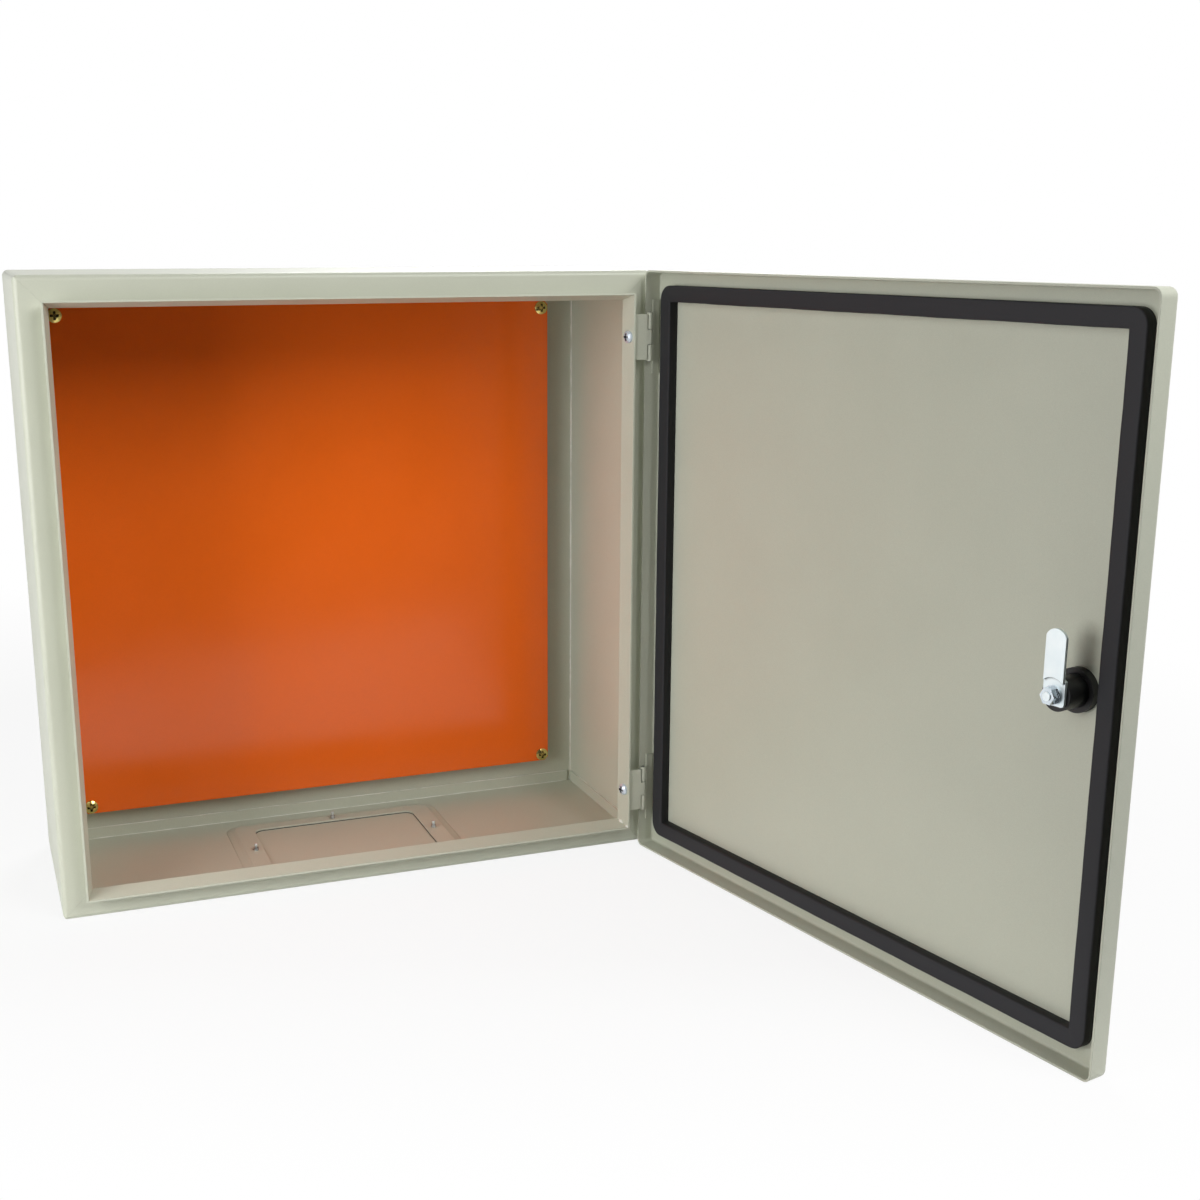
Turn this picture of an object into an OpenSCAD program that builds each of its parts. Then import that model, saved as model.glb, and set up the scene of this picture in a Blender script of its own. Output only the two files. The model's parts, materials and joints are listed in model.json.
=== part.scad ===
// Wall-mounted control cabinet: folded steel body with an open hinged door, gasket, cam lock and
// a mounting plate. Millimetres, Z up. The origin lies on the back face, in the middle of the four
// wall holes; -Y is the front. The door stands open by door_open degrees.

/* [Body] */
// Outside width of the body and of the door
body_w = 500; // [300:10:800]
// Outside height of the body and of the door
body_h = 500; // [300:10:800]
// Depth of the body from the back face to the front flange
body_d = 176; // [150:2:400]
// Thickness of the folded sheet
sheet = 1.5; // [1.2:0.1:2]
// Outside radius of the folds in the body
bend_r = 4; // [3.5:0.1:5]
// Rounding of the welded corners between the walls
corner_r = 5; // [3:0.5:6]
// Height of the turned edges of the top and bottom panels
panel_edge = 11.5; // [8:0.5:20]

/* [Front rim] */
// Width of the front flange, from the outer wall to the foot of the lip
flange_w = 23.8; // [22:0.1:30]
// How far the sealing lip stands in front of the flange
lip_d = 13.8; // [12.8:0.1:16]
// How far the front edge of the lip leans outward
lip_lean = 4.3; // [2:0.1:6]

/* [Wall holes] */
// Distance of each wall hole from the outer walls
wall_inset = 50; // [40:1:90]
// Diameter of a wall hole
wall_hole_d = 8.5; // [6:0.1:11]

/* [Mounting plate] */
// Space between the outer walls and the sides of the plate
plate_margin_x = 31; // [30:1:60]
// Space between the outer top and the top of the plate
plate_margin_z = 30; // [30:1:60]
// Thickness of the plate
plate_t = 2; // [1.5:0.1:3]
// Distance from the back face to the back of the plate
plate_stand = 14; // [10:0.5:30]
// Size of the cut corners of the plate
plate_corner = 3.5; // [1:0.5:6]
// Distance of a plate screw from the edges of the plate
plate_screw_inset = 6.5; // [6:0.1:12]
// Thread radius of a plate screw
plate_screw_r = 3; // [2.5:0.1:4]
// Head radius of a plate screw
plate_head_r = 5.9; // [5:0.1:8]
// Head height of a plate screw
plate_head_h = 3.4; // [2.5:0.1:5]
// Length of a plate screw under the head
plate_screw_l = 12; // [8:0.5:13]
// Radius of a stand-off
standoff_r = 6.5; // [5:0.1:9]

/* [Gland] */
// Width of the gland cut-out
gland_cut_w = 148; // [80:1:200]
// Depth of the gland cut-out
gland_cut_d = 100; // [60:1:104]
// Corner radius of the cut-out
gland_cut_r = 9; // [4:0.5:15]
// Overlap of the gland plate beside the cut-out
gland_land_x = 14; // [12:0.5:20]
// Overlap of the gland plate in front of and behind the cut-out
gland_land_y = 10; // [9:0.5:14]
// Corner radius of the gland plate
gland_r = 6; // [2:0.5:12]
// Thickness of the gland plate
gland_t = 2; // [1.8:0.1:3]
// Thickness of the gland seal
gland_seal_t = 0.5; // [0.3:0.1:2]
// Thread radius of a gland screw
gland_screw_r = 2; // [1.5:0.1:2.5]
// Head radius of a gland screw
gland_head_r = 3.7; // [3:0.1:4]
// Height of the sunk head of a gland screw
gland_head_h = 1.7; // [1.2:0.1:1.8]
// How far a gland screw stands above the floor
gland_screw_up = 8.5; // [5:0.5:15]
// Radius of the thin point of a gland screw
gland_tip_r = 1.2; // [0.8:0.1:1.4]
// Length of the thin point of a gland screw
gland_tip_l = 3.6; // [1:0.1:4]

/* [Hinges] */
// Distance of the hinge axis from the outer wall
hinge_p = 4.2; // [4.2:0.1:4.6]
// Distance of the hinge axis in front of the flange
hinge_q = 10; // [9:0.1:10.2]
// Distance of a hinge centre from the top or the bottom
hinge_end = 53.5; // [40:0.5:120]
// Height of the leaf on the body
hinge_h = 37; // [30:0.5:60]
// Outside radius of a knuckle
knuckle_r = 2.4; // [2.2:0.05:2.4]
// How far the door's knuckles pass the end of the body's leaf
knuckle_over = 1.2; // [0:0.1:3]
// Thickness of the hinge leaves
leaf_t = 1.2; // [1:0.1:1.4]
// Foot of the body's leaf in front of the flange
leaf_foot = 2; // [1:0.1:3]
// Height of the leaf on the door
door_leaf_h = 60; // [45:1:80]
// Reach of the leaf on the door from the door's inner face
door_leaf_v = 8; // [6:0.5:9]
// Radius of the hinge pin
pin_r = 1.25; // [1:0.05:1.4]
// How far the pin stands out of the knuckles
pin_over = 0.5; // [0:0.1:1]
// Thread radius of a hinge screw
hinge_screw_r = 2.5; // [2:0.1:2.6]
// Head radius of a hinge screw
hinge_head_r = 5; // [4:0.1:5.2]
// Head height of a hinge screw
hinge_head_h = 3.7; // [2:0.1:4]
// Height of a hinge screw in front of the flange
hinge_screw_q = 7; // [6.4:0.1:7.4]
// How far a hinge screw stands through its leaf
hinge_screw_over = 1.5; // [0.5:0.1:3]

/* [Door] */
// Opening angle of the door as drawn
door_open = 102; // [0:1:120]
// Gap from the flange to the inner face of the closed door
door_gap = 22.5; // [21.6:0.1:24]
// Depth of the door's returns behind its inner face
door_return = 14.8; // [13:0.1:17]
// Outside radius of the folds in the door
door_bend_r = 3; // [2.5:0.1:4]
// Corner radius of the door
door_corner_r = 6; // [5:0.5:10]

/* [Gasket] */
// Width of the foam strip
gasket_w = 13; // [11:0.1:14]
// Distance of the strip from the door's edges
gasket_inset = 12.8; // [10:0.1:13.4]
// How far the strip sits above the middle of the door
gasket_raise = 1; // [0:0.1:2]
// Corner radius outside the strip
gasket_r = 11; // [6:0.5:13]
// Corner radius inside the strip
gasket_in_r = 1; // [0.5:0.1:6]
// Space left between the strip and the lip
gasket_clear = 0.3; // [0.3:0.1:1]

/* [Lock] */
// Distance of the lock from the free edge of the door
lock_inset = 45; // [44:0.5:60]
// Height of the lock above the middle of the door
lock_z = 1; // [-100:1:100]
// Radius of the lock barrel
barrel_r = 11; // [10:0.1:12]
// Radius of the bezel outside the door
bezel_r = 16; // [14:0.5:18]
// Thickness of the bezel
bezel_t = 4; // [3.5:0.1:6]
// Thickness of the seal under the bezel
lock_seal_t = 1; // [0.5:0.1:2]
// Radius of the nut inside the door
lock_nut_r = 14.6; // [14:0.1:16]
// Thickness of the nut inside the door
lock_nut_t = 5.5; // [4:0.5:10]
// Radius of the turning plug
plug_r = 7; // [6:0.1:8]
// Radius of the plug's head
plug_head_r = 9; // [8.5:0.1:10]
// Thickness of the plug's head
plug_head_t = 3; // [2:0.1:3.2]
// Radius of the key socket
socket_r = 5; // [4:0.1:6]
// Depth of the key socket
socket_depth = 8; // [5:0.5:12]
// Radius of the key pin in the socket
key_pin_r = 2.5; // [2:0.1:3]
// Width across the two bits of the key pin
key_bit_w = 8.6; // [7:0.1:9]
// Thickness of the two bits
key_bit_t = 3; // [2:0.1:4]

/* [Cam] */
// Space between the flange and the locked cam
cam_gap = 0.6; // [0.6:0.1:2]
// Space between the outer wall and the tip of the locked cam
cam_wall = 2.3; // [2.2:0.1:8]
// Thickness of the cam
cam_t = 2; // [1.5:0.1:3]
// Width of the arm of the cam
cam_w = 15.5; // [13:0.5:16.5]
// Rounding of the cam's tip
cam_tip_r = 8.5; // [8.3:0.1:20]
// Width of the foot of the cam
cam_foot_w = 17; // [16.5:0.5:20]
// Distance from the axis to the end of the foot
cam_back = 6.8; // [6.5:0.1:12]
// Step outward from the foot to the arm of the cam
cam_crank = 1.5; // [0.5:0.1:1.8]
// Distance from the axis to the step
cam_step_r = 11.5; // [11:0.5:18]
// Rounding of the corners of the foot
cam_foot_r = 2.5; // [1:0.5:5]
// Side of the square that drives the cam
drive_w = 8; // [7.2:0.1:9]
// Radius of the washer on the cam
washer_r = 6.5; // [6:0.1:8]
// Thickness of the washer
washer_t = 1.2; // [0.8:0.1:2]
// Width across the flats of the cam nut
cam_nut_w = 10; // [9:0.5:12]
// Height of the cam nut
cam_nut_h = 5; // [3:0.1:6]
// Thread radius of the stud that carries the cam
stud_r = 3; // [2.5:0.1:3.5]
// How far the stud stands out of its nut
stud_over = 0.6; // [0.3:0.1:3]

/* [Fits] */
// Radial clearance of a turning fit
run_fit = 0.05; // [0.03:0.01:0.1]
// Radial clearance of a threaded fit
thread_fit = 0.05; // [0.03:0.01:0.1]
// Radial clearance of a screw hole
hole_fit = 0.3; // [0.1:0.05:0.5]
// Clearance between pieces that move past each other
move_gap = 0.4; // [0.3:0.05:0.6]
// Clearance round the gland plate
gland_fit = 0.5; // [0.2:0.1:1]

/* [Hidden] */
$fn = 64;
// Length by which cutting shapes pass the surface they cut
over = 1;
hex_sides = 6;
half_w = body_w / 2;
half_h = body_h / 2;
front_y = -body_d;

// The lip leans: its inner and outer faces at a height q in front of the flange
lip_angle = atan(lip_lean / (lip_d + sheet));
lip_tx = sheet / cos(lip_angle);
leaf_tx = leaf_t / cos(lip_angle);
function lip_in(q) = flange_w - lip_lean * (q + sheet) / (lip_d + sheet);
function lip_out(q) = lip_in(q) - lip_tx;

panel_hw = half_w - sheet;
notch = bend_r;
mitre = flange_w + over;

plate_w = body_w - 2 * plate_margin_x;
plate_h = body_h - 2 * plate_margin_z;
plate_sx = plate_w / 2 - plate_screw_inset;
plate_sz = plate_h / 2 - plate_screw_inset;
wall_x = half_w - wall_inset;
wall_z = half_h - wall_inset;

gland_w = gland_cut_w + 2 * gland_land_x;
gland_d = gland_cut_d + 2 * gland_land_y;
gland_y = -body_d / 2;
land_rise = gland_t + gland_seal_t;
gland_sx = (gland_cut_w + gland_land_x) / 2;
gland_sy = (gland_cut_d + gland_land_y) / 2;
gland_spots = [[gland_sx, 0], [-gland_sx, 0], [0, gland_sy], [0, -gland_sy]];
gland_shank_h = sheet + gland_screw_up - gland_tip_l;

hinge_z = half_h - hinge_end;
hinge_axis = [half_w - hinge_p, front_y - hinge_q, 0];
leg_q = hinge_q + knuckle_r;
third_h = hinge_h / 3;
mid_h = third_h - move_gap;
seg_z = third_h / 2 + move_gap / 2;
seg_h = hinge_h / 2 + knuckle_over - seg_z;
pin_h = hinge_h + 2 * (knuckle_over + pin_over);

door_out_y = front_y - door_gap - sheet;
door_depth = door_return + sheet;
gasket_h = door_gap - lip_d - gasket_clear;
gasket_out_w = body_w - 2 * gasket_inset;
gasket_out_h = body_h - 2 * gasket_inset;

// Heights in the lock, measured inward from the door's outer face
arm_s = sheet + door_gap + sheet + cam_gap;
cam_s = arm_s - cam_crank;
barrel_end = cam_s - move_gap;
washer_s = cam_s + cam_t;
cam_nut_s = washer_s + washer_t;
stud_end = cam_nut_s + cam_nut_h + stud_over;
bezel_s = -lock_seal_t - bezel_t;
plug_s = bezel_s + plug_head_t;
cam_reach = lock_inset - cam_wall;
step_lap = cam_t * 0.8;

paint = "#b8b8a6";
orange = "#d4581b";
zinc = "#c9ccd0";
yellow_zinc = "#c8a63c";
foam = "#2b2b2d";
black = "#151516";

// Flat shapes

module quarter_ring(r, t) {
    intersection() {
        difference() {
            circle(r = r);
            circle(r = r - t);
        }
        square(r);
    }
}

module rounded(w, d, r) {
    square([w - 2 * r, d], center = true);
    square([w, d - 2 * r], center = true);
    for (sx = [-1, 1], sy = [-1, 1]) {
        translate([sx * (w / 2 - r), sy * (d / 2 - r)]) circle(r = r);
    }
}

// Front fold, flange and leaning lip: x runs inward from the outer wall, y forward of the flange
module rim_edge() {
    translate([bend_r, -bend_r]) mirror([1, 0]) quarter_ring(bend_r, sheet);
    translate([bend_r, -sheet]) square([lip_out(-sheet) - bend_r, sheet]);
    polygon([
        [lip_out(-sheet), -sheet],
        [lip_in(-sheet), -sheet],
        [lip_in(lip_d), lip_d],
        [lip_out(lip_d), lip_d],
    ]);
}

// Plan of the folded wrap: both rims, both side walls and the back
module wrap_plan() {
    for (side = [0, 1]) {
        mirror([side, 0]) {
            translate([half_w, front_y]) rotate(180) rim_edge();
            translate([half_w - sheet, front_y + bend_r]) square([sheet, body_d - 2 * bend_r]);
            translate([half_w - bend_r, -bend_r]) quarter_ring(bend_r, sheet);
        }
    }
    translate([-(half_w - bend_r), -sheet]) square([2 * (half_w - bend_r), sheet]);
}

// Plan of an end panel between the side walls, its back corners rounded inside the wrap's folds
module panel_plan() {
    flat_d = body_d - bend_r - sheet;
    translate([-panel_hw, front_y + bend_r]) square([2 * panel_hw, flat_d - notch]);
    translate([notch - panel_hw, front_y + bend_r]) square([2 * (panel_hw - notch), flat_d]);
    for (side = [-1, 1]) {
        translate([side * (panel_hw - notch), -sheet - notch]) circle(r = notch);
    }
}

// Fold of the door: x runs inward from the door's edge, y inward from its outer face
module door_edge() {
    translate([door_bend_r, door_bend_r]) rotate(180) quarter_ring(door_bend_r, sheet);
    translate([0, door_bend_r]) square([sheet, door_depth - door_bend_r]);
    translate([door_bend_r, 0]) square([door_corner_r - door_bend_r, sheet]);
}

// Placing

// Front space of the top panel, cut at 45 degrees toward the side rims
module mitre_zone() {
    translate([0, front_y + bend_r, 0]) {
        rotate([90, 0, 0]) {
            linear_extrude(bend_r + lip_d + over) {
                polygon([
                    [-half_w - over, half_h + over],
                    [half_w + over, half_h + over],
                    [half_w - mitre, half_h - mitre],
                    [-half_w + mitre, half_h - mitre],
                ]);
            }
        }
    }
}

module corner_envelope() {
    translate([0, over, 0]) {
        rotate([90, 0, 0]) {
            linear_extrude(body_d + lip_d + 2 * over) rounded(body_w, body_h, corner_r);
        }
    }
}

// Right rim: x inward from the right wall, y forward of the flange
module rim_place(z) {
    translate([half_w, front_y, z]) rotate([0, 0, 180]) children();
}

// Turns the closed door about its hinge axis
module door_place() {
    translate(hinge_axis) rotate([0, 0, door_open]) translate(-hinge_axis) children();
}

// Door seen from outside: z runs inward from its outer face and -y is up
module pan_place() {
    door_place() translate([0, door_out_y, 0]) rotate([-90, 0, 0]) children();
}

module lock_place() {
    pan_place() translate([lock_inset - half_w, -lock_z, 0]) children();
}

// Underside of the floor: z falls inward from the bottom face before the mirror
module gland_place() {
    mirror([0, 0, 1]) translate([0, gland_y, half_h]) children();
}

module hinge_screw_place(z) {
    rim_place(z) {
        translate([lip_in(hinge_screw_q), hinge_screw_q, 0]) rotate([0, 90, lip_angle]) children();
    }
}

module plate_spots() {
    for (sx = [-1, 1], sz = [-1, 1]) {
        translate([sx * plate_sx, 0, sz * plate_sz]) rotate([90, 0, 0]) children();
    }
}

// Domed screw with a cross recess, head up, thread down from z = 0
module pan_screw(r, l, head_r, head_h) {
    dome = head_h * 0.6;
    ball = (head_r * head_r + dome * dome) / (2 * dome);
    slot_l = head_r * 1.2;
    slot_w = head_r * 0.36;
    translate([0, 0, -l]) cylinder(r = r, h = l);
    difference() {
        intersection() {
            cylinder(r = head_r, h = head_h);
            translate([0, 0, head_h - ball]) sphere(r = ball);
        }
        for (turn = [0, 90]) {
            rotate([0, 0, turn]) {
                translate([-slot_l / 2, -slot_w / 2, head_h - dome]) cube([slot_l, slot_w, head_h]);
            }
        }
    }
}

// Body

module side_back_wrap() {
    color(paint) {
        difference() {
            intersection() {
                translate([0, 0, -half_h]) linear_extrude(body_h) wrap_plan();
                corner_envelope();
            }
            mitre_zone();
            mirror([0, 0, 1]) mitre_zone();
            for (sx = [-1, 1], sz = [-1, 1]) {
                translate([sx * wall_x, over, sz * wall_z]) {
                    rotate([90, 0, 0]) cylinder(r = wall_hole_d / 2, h = sheet + 2 * over);
                }
            }
            for (z = [-hinge_z, hinge_z]) {
                hinge_screw_place(z) {
                    translate([0, 0, -sheet - over]) {
                        cylinder(r = hinge_screw_r + hole_fit, h = sheet + 2 * over);
                    }
                }
            }
        }
    }
}

// Folded end panel in the place of the top
module end_panel() {
    intersection() {
        union() {
            intersection() {
                translate([half_w, front_y, half_h]) {
                    rotate([0, 90, 180]) linear_extrude(body_w) rim_edge();
                }
                mitre_zone();
            }
            translate([0, 0, half_h - sheet]) linear_extrude(sheet) panel_plan();
            translate([notch - panel_hw, -2 * sheet, half_h - panel_edge]) {
                cube([2 * (panel_hw - notch), sheet, panel_edge]);
            }
            for (side = [0, 1]) {
                mirror([side, 0, 0]) {
                    translate([panel_hw - sheet, front_y + bend_r + over, half_h - panel_edge]) {
                        cube([sheet, body_d - bend_r - over - sheet - notch, panel_edge]);
                    }
                }
            }
        }
        corner_envelope();
    }
}

module top_panel() {
    color(paint) end_panel();
}

module bottom_panel() {
    color(paint) {
        difference() {
            union() {
                mirror([0, 0, 1]) end_panel();
                gland_place() {
                    translate([0, 0, -land_rise - sheet]) {
                        linear_extrude(land_rise + sheet) {
                            rounded(gland_w + 2 * (gland_fit + sheet), gland_d + 2 * (gland_fit + sheet),
                                gland_r + gland_fit + sheet);
                        }
                    }
                }
            }
            gland_place() {
                translate([0, 0, -land_rise]) {
                    linear_extrude(land_rise + over) {
                        rounded(gland_w + 2 * gland_fit, gland_d + 2 * gland_fit, gland_r + gland_fit);
                    }
                }
                translate([0, 0, -land_rise - sheet - over]) {
                    linear_extrude(sheet + 2 * over) rounded(gland_cut_w, gland_cut_d, gland_cut_r);
                }
                for (spot = gland_spots) {
                    translate([spot[0], spot[1], -land_rise - sheet - over]) {
                        cylinder(r = gland_screw_r + thread_fit, h = sheet + 2 * over);
                    }
                }
            }
        }
    }
}

module mounting_plate() {
    w = plate_w / 2;
    h = plate_h / 2;
    c = plate_corner;
    color(orange) {
        difference() {
            translate([0, -plate_stand, 0]) {
                rotate([90, 0, 0]) {
                    linear_extrude(plate_t) {
                        polygon([[c - w, -h], [w - c, -h], [w, c - h], [w, h - c],
                            [w - c, h], [c - w, h], [-w, h - c], [-w, c - h]]);
                    }
                }
            }
            plate_spots() {
                translate([0, 0, plate_stand - over]) {
                    cylinder(r = plate_screw_r + hole_fit, h = plate_t + 2 * over);
                }
            }
        }
    }
}

module plate_standoffs() {
    color(zinc) {
        plate_spots() {
            difference() {
                translate([0, 0, sheet]) cylinder(r = standoff_r, h = plate_stand - sheet);
                translate([0, 0, plate_stand + plate_t - plate_screw_l]) {
                    cylinder(r = plate_screw_r + thread_fit, h = plate_screw_l);
                }
            }
        }
    }
}

module plate_screws() {
    color(yellow_zinc) {
        plate_spots() {
            translate([0, 0, plate_stand + plate_t]) {
                pan_screw(plate_screw_r, plate_screw_l, plate_head_r, plate_head_h);
            }
        }
    }
}

module gland_plate() {
    color(paint) {
        gland_place() {
            difference() {
                translate([0, 0, -gland_t]) linear_extrude(gland_t) rounded(gland_w, gland_d, gland_r);
                for (spot = gland_spots) {
                    translate([spot[0], spot[1], -gland_t - over]) {
                        cylinder(r = gland_screw_r + hole_fit, h = gland_t + 2 * over);
                    }
                    translate([spot[0], spot[1], -gland_head_h]) {
                        cylinder(r1 = gland_screw_r + hole_fit, r2 = gland_head_r + hole_fit, h = gland_head_h);
                    }
                }
            }
        }
    }
}

module gland_seal() {
    color(foam) {
        gland_place() {
            translate([0, 0, -land_rise]) {
                difference() {
                    linear_extrude(gland_seal_t) rounded(gland_w, gland_d, gland_r);
                    translate([0, 0, -over]) {
                        linear_extrude(gland_seal_t + 2 * over) {
                            rounded(gland_cut_w, gland_cut_d, gland_cut_r);
                        }
                    }
                    for (spot = gland_spots) {
                        translate([spot[0], spot[1], -over]) {
                            cylinder(r = gland_screw_r + hole_fit, h = gland_seal_t + 2 * over);
                        }
                    }
                }
            }
        }
    }
}

module gland_screws() {
    color(zinc) {
        gland_place() {
            for (spot = gland_spots) {
                translate([spot[0], spot[1], 0]) {
                    translate([0, 0, -gland_shank_h]) cylinder(r = gland_screw_r, h = gland_shank_h - gland_head_h);
                    translate([0, 0, -gland_head_h]) {
                        cylinder(r1 = gland_screw_r, r2 = gland_head_r, h = gland_head_h);
                    }
                    translate([0, 0, -sheet - gland_screw_up]) cylinder(r = gland_tip_r, h = gland_tip_l);
                }
            }
        }
    }
}

// Hinges

// Leaf bolted to the outer face of the lip, with the middle knuckle
module hinge_body_leaf(z) {
    leg_p = hinge_p + knuckle_r + move_gap;
    color(paint) {
        difference() {
            rim_place(z) {
                difference() {
                    union() {
                        translate([0, 0, -hinge_h / 2]) {
                            linear_extrude(hinge_h) {
                                polygon([
                                    [lip_out(leaf_foot), leaf_foot],
                                    [lip_out(leg_q), leg_q],
                                    [lip_out(leg_q) - leaf_tx, leg_q],
                                    [lip_out(leaf_foot) - leaf_tx, leaf_foot],
                                ]);
                            }
                        }
                        translate([leg_p, leg_q - leaf_t, -hinge_h / 2]) {
                            cube([lip_out(leg_q) - leg_p, leaf_t, hinge_h]);
                        }
                        translate([hinge_p, leg_q - leaf_t, -mid_h / 2]) {
                            cube([lip_out(leg_q) - hinge_p, leaf_t, mid_h]);
                        }
                        translate([hinge_p, hinge_q, -mid_h / 2]) cylinder(r = knuckle_r, h = mid_h);
                    }
                    translate([hinge_p, hinge_q, -hinge_h]) cylinder(r = pin_r + run_fit, h = 2 * hinge_h);
                }
            }
            hinge_screw_place(z) {
                translate([0, 0, -sheet - leaf_t - over]) {
                    cylinder(r = hinge_screw_r + thread_fit, h = leaf_t + 2 * over);
                }
            }
        }
    }
}

// Leaf welded inside the door's return, with the two outer knuckles
module hinge_door_leaf(z) {
    leaf_q = door_gap - door_leaf_v;
    color(paint) {
        door_place() {
            rim_place(z) {
                difference() {
                    union() {
                        translate([sheet, leaf_q, -door_leaf_h / 2]) {
                            cube([leaf_t, door_leaf_v + sheet - door_bend_r, door_leaf_h]);
                        }
                        for (end = [0, 1]) {
                            mirror([0, 0, end]) {
                                translate([hinge_p - knuckle_r, hinge_q, seg_z]) {
                                    cube([leaf_t, leaf_q - hinge_q + leaf_t, seg_h]);
                                }
                                translate([hinge_p, hinge_q, seg_z]) cylinder(r = knuckle_r, h = seg_h);
                            }
                        }
                    }
                    translate([hinge_p, hinge_q, -hinge_h]) cylinder(r = pin_r + run_fit, h = 2 * hinge_h);
                }
            }
        }
    }
}

module hinge_pin(z) {
    color(zinc) {
        rim_place(z) translate([hinge_p, hinge_q, -pin_h / 2]) cylinder(r = pin_r, h = pin_h);
    }
}

module hinge_body_leaf_upper() {
    hinge_body_leaf(hinge_z);
}

module hinge_body_leaf_lower() {
    hinge_body_leaf(-hinge_z);
}

module hinge_door_leaf_upper() {
    hinge_door_leaf(hinge_z);
}

module hinge_door_leaf_lower() {
    hinge_door_leaf(-hinge_z);
}

module hinge_pin_upper() {
    hinge_pin(hinge_z);
}

module hinge_pin_lower() {
    hinge_pin(-hinge_z);
}

module hinge_screws() {
    color(zinc) {
        for (z = [-hinge_z, hinge_z]) {
            hinge_screw_place(z) {
                pan_screw(hinge_screw_r, sheet + leaf_t + hinge_screw_over, hinge_head_r, hinge_head_h);
            }
        }
    }
}

// Door

module door_panel() {
    c = door_corner_r;
    color(paint) {
        pan_place() {
            difference() {
                union() {
                    translate([c - half_w, c - half_h, 0]) cube([body_w - 2 * c, body_h - 2 * c, sheet]);
                    for (turn = [0, 180]) {
                        rotate([0, 0, turn]) {
                            translate([c - half_w, -half_h, 0]) {
                                rotate([90, 0, 90]) linear_extrude(body_w - 2 * c) door_edge();
                            }
                            rotate([0, 0, 90]) {
                                translate([c - half_h, -half_w, 0]) {
                                    rotate([90, 0, 90]) linear_extrude(body_h - 2 * c) door_edge();
                                }
                            }
                        }
                    }
                    for (sx = [0, 1], sy = [0, 1]) {
                        mirror([sx, 0, 0]) {
                            mirror([0, sy, 0]) {
                                translate([half_w - c, half_h - c, 0]) {
                                    rotate_extrude(angle = 90) translate([c, 0]) mirror([1, 0]) door_edge();
                                }
                            }
                        }
                    }
                }
                translate([lock_inset - half_w, -lock_z, -over]) {
                    cylinder(r = barrel_r + hole_fit, h = sheet + 2 * over);
                }
            }
        }
    }
}

module door_gasket() {
    color(foam) {
        pan_place() {
            translate([0, -gasket_raise, sheet]) {
                difference() {
                    linear_extrude(gasket_h) rounded(gasket_out_w, gasket_out_h, gasket_r);
                    translate([0, 0, -over]) {
                        linear_extrude(gasket_h + 2 * over) {
                            rounded(gasket_out_w - 2 * gasket_w, gasket_out_h - 2 * gasket_w, gasket_in_r);
                        }
                    }
                }
            }
        }
    }
}

// Lock

module lock_housing() {
    color(black) {
        lock_place() {
            difference() {
                union() {
                    translate([0, 0, bezel_s]) cylinder(r = bezel_r, h = bezel_t);
                    translate([0, 0, bezel_s]) cylinder(r = barrel_r, h = barrel_end - bezel_s);
                }
                translate([0, 0, bezel_s - over]) {
                    cylinder(r = plug_head_r + run_fit, h = plug_head_t + over);
                }
                translate([0, 0, bezel_s]) cylinder(r = plug_r + run_fit, h = barrel_end - bezel_s + over);
            }
        }
    }
}

module lock_seal() {
    color(foam) {
        lock_place() {
            translate([0, 0, -lock_seal_t]) {
                difference() {
                    cylinder(r = bezel_r - over, h = lock_seal_t);
                    translate([0, 0, -over]) cylinder(r = barrel_r + hole_fit, h = lock_seal_t + 2 * over);
                }
            }
        }
    }
}

module lock_nut() {
    color(black) {
        lock_place() {
            translate([0, 0, sheet]) {
                difference() {
                    cylinder(r = lock_nut_r, h = lock_nut_t);
                    translate([0, 0, -over]) cylinder(r = barrel_r + thread_fit, h = lock_nut_t + 2 * over);
                }
            }
        }
    }
}

module lock_plug() {
    color(zinc) {
        lock_place() {
            difference() {
                union() {
                    translate([0, 0, bezel_s]) cylinder(r = plug_head_r, h = plug_head_t);
                    translate([0, 0, bezel_s]) cylinder(r = plug_r, h = cam_s - bezel_s);
                    translate([-drive_w / 2, -drive_w / 2, cam_s]) cube([drive_w, drive_w, cam_t]);
                    translate([0, 0, cam_s]) cylinder(r = stud_r, h = stud_end - cam_s);
                }
                translate([0, 0, bezel_s - over]) {
                    difference() {
                        cylinder(r = socket_r, h = socket_depth + over);
                        cylinder(r = key_pin_r, h = socket_depth + over);
                        translate([-key_bit_w / 2, -key_bit_t / 2, 0]) {
                            cube([key_bit_w, key_bit_t, socket_depth + over]);
                        }
                    }
                }
            }
        }
    }
}

// Flat shape of the cam's foot: rounded behind the axis, ending in an arc round the axis
module cam_foot_plan() {
    intersection() {
        circle(r = cam_step_r + step_lap);
        union() {
            translate([-cam_foot_w / 2, cam_foot_r - cam_back]) {
                square([cam_foot_w, cam_step_r + step_lap + cam_back]);
            }
            translate([cam_foot_r - cam_foot_w / 2, -cam_back]) square([cam_foot_w - 2 * cam_foot_r, cam_back]);
            for (sx = [-1, 1]) {
                translate([sx * (cam_foot_w / 2 - cam_foot_r), cam_foot_r - cam_back]) circle(r = cam_foot_r);
            }
        }
    }
}

// Flat shape of the cam's arm, from the step to the rounded tip
module cam_arm_plan() {
    difference() {
        intersection() {
            translate([-cam_w / 2, 0]) square([cam_w, cam_reach]);
            union() {
                translate([-cam_w / 2, 0]) square([cam_w, cam_reach - cam_tip_r]);
                translate([0, cam_reach - cam_tip_r]) circle(r = cam_tip_r);
            }
        }
        circle(r = cam_step_r);
    }
}

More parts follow.
